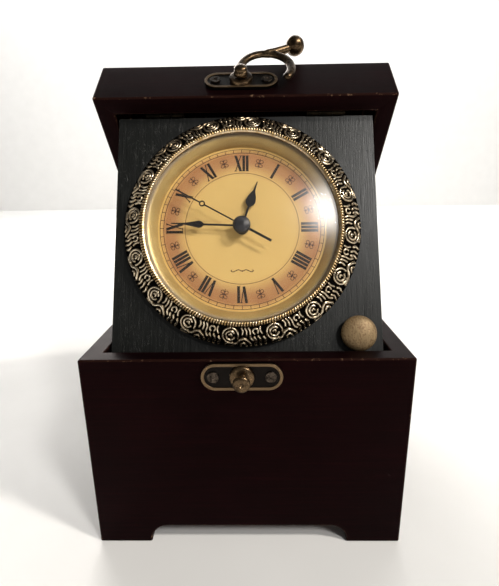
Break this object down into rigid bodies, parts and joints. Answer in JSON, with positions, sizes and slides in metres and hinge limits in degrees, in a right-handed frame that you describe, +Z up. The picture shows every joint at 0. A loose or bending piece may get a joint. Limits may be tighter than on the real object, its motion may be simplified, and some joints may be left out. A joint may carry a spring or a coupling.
{
  "type": "quartz box clock",
  "caption": "Round quartz clock on a panel that folds out of a footed wooden box's hinged lid and props it open, with a hook latch.",
  "frame": {"origin": "on the surface it stands on, below the middle of the open clock's overall box, which is 6 mm behind the wooden box's centre", "axes": "front of the box faces -Y, +X is to the right seen from the front, +Z is up"},
  "size_m": [0.14, 0.1698, 0.2307],
  "materials": {
    "mahogany": "satin, dark stained",
    "plywood": "plain",
    "antique_brass": "antiqued, speckled",
    "ornament_brass": "antiqued, dark in the hollows",
    "gold_ring": "satin gold",
    "hinge_brass": "satin",
    "steel": "bright",
    "copper": "enamelled wire",
    "panel_paint": "black-green satin paint",
    "lens_clear": "clear, polished",
    "dial_print": "cream with a rose-brown chapter ring",
    "hand_black": "black, semi-gloss",
    "black_plastic": "matte",
    "white_plastic": "natural acetal",
    "grip_rubber": "matte",
    "board_green": "solder mask",
    "cell_wrap": "printed sleeve, no lettering"
  },
  "bodies": {
    "box": {"box_front": "mahogany", "box_back": "mahogany", "box_left": "mahogany", "box_right": "mahogany", "box_floor": "plywood", "catch_plate": "antique_brass", "catch_knob": "antique_brass", "catch_screws": "steel", "rear_hinge_box_leaves": "hinge_brass", "rear_hinge_pins": "steel", "rear_hinge_box_screws": "hinge_brass"},
    "lid": {"lid_front": "mahogany", "lid_back": "mahogany", "lid_left": "mahogany", "lid_right": "mahogany", "lid_top": "mahogany", "rear_hinge_lid_leaves": "hinge_brass", "rear_hinge_lid_screws": "hinge_brass", "hook_plate": "antique_brass", "hook_pivot": "antique_brass", "hook_screws": "steel", "panel_hinge_lid_leaves": "hinge_brass", "panel_hinge_lid_screws": "hinge_brass", "panel_hinge_pins": "steel", "magnet_block": "plywood", "catch_magnet": "steel"},
    "hook": {"hook": "antique_brass"},
    "panel": {"panel_board": "panel_paint", "panel_hinge_leaves": "hinge_brass", "panel_hinge_screws": "hinge_brass", "strike_plate": "steel", "pull_knob": "antique_brass", "pull_knob_screw": "steel", "bezel": "ornament_brass", "bead_ring": "ornament_brass", "reflector_ring": "gold_ring", "lens": "lens_clear", "dial": "dial_print", "insert_cup": "black_plastic", "grip_ring": "grip_rubber", "movement_case": "black_plastic", "movement_back": "black_plastic", "movement_screws": "steel", "train_bridge": "white_plastic", "circuit_board": "board_green", "coil": "copper", "stator": "steel", "battery": "cell_wrap", "battery_contacts": "steel"},
    "seconds": {"second_hand": "hand_black", "second_wheel": "hinge_brass"},
    "minutes": {"minute_hand": "hand_black", "centre_wheel": "hinge_brass"},
    "hours": {"hour_hand": "hand_black", "hour_wheel": "hinge_brass"},
    "third": {"third_wheel": "hinge_brass"},
    "fifth": {"fifth_wheel": "white_plastic"},
    "rotor": {"rotor": "steel"},
    "setting": {"minute_wheel": "white_plastic", "set_knob": "black_plastic"}
  },
  "joints": [
    {"name": "lid_hinge", "type": "hinge", "parent": "box", "child": "lid", "pos_m": [0, 0.06581, 0.093], "axis": [1, 0, 0], "range_deg": [0, 49.1]},
    {"name": "panel_hinge", "type": "hinge", "parent": "lid", "child": "panel", "pos_m": [0, -0.02033, 0.19335], "axis": [1, 0, 0], "range_deg": [0, 63.9]},
    {"name": "hook_pivot", "type": "hinge", "parent": "lid", "child": "hook", "pos_m": [-0.00175, -0.01857, 0.20751], "axis": [0, -0.6547, 0.7559], "range_deg": [-90, 100]},
    {"name": "second_arbor", "type": "hinge", "parent": "panel", "child": "seconds", "pos_m": [-0.00175, -0.04135, 0.14204], "axis": [0, 0.9205, -0.3907], "continuous": true},
    {"name": "minute_arbor", "type": "hinge", "parent": "panel", "child": "minutes", "pos_m": [-0.00175, -0.04135, 0.14204], "axis": [0, 0.9205, -0.3907], "continuous": true},
    {"name": "hour_arbor", "type": "hinge", "parent": "panel", "child": "hours", "pos_m": [-0.00175, -0.04135, 0.14204], "axis": [0, 0.9205, -0.3907], "continuous": true},
    {"name": "third_arbor", "type": "hinge", "parent": "panel", "child": "third", "pos_m": [-0.00175, -0.03736, 0.15143], "axis": [0, 0.9205, -0.3907], "continuous": true},
    {"name": "fifth_arbor", "type": "hinge", "parent": "panel", "child": "fifth", "pos_m": [-0.01127, -0.04308, 0.13795], "axis": [0, 0.9205, -0.3907], "continuous": true},
    {"name": "rotor_arbor", "type": "hinge", "parent": "panel", "child": "rotor", "pos_m": [-0.01896, -0.04461, 0.13434], "axis": [0, 0.9205, -0.3907], "continuous": true},
    {"name": "setting_arbor", "type": "hinge", "parent": "panel", "child": "setting", "pos_m": [0.00864, -0.039, 0.14756], "axis": [0, 0.9205, -0.3907], "continuous": true}
  ],
  "couplings": [
    {"joint": "panel_hinge", "follows": "lid_hinge", "ratio": 1.3014},
    {"joint": "minute_arbor", "follows": "second_arbor", "ratio": 0.016667},
    {"joint": "hour_arbor", "follows": "second_arbor", "ratio": 0.0013889},
    {"joint": "third_arbor", "follows": "second_arbor", "ratio": -0.13333},
    {"joint": "fifth_arbor", "follows": "second_arbor", "ratio": -6},
    {"joint": "rotor_arbor", "follows": "second_arbor", "ratio": 30},
    {"joint": "setting_arbor", "follows": "second_arbor", "ratio": -0.0055556}
  ]
}
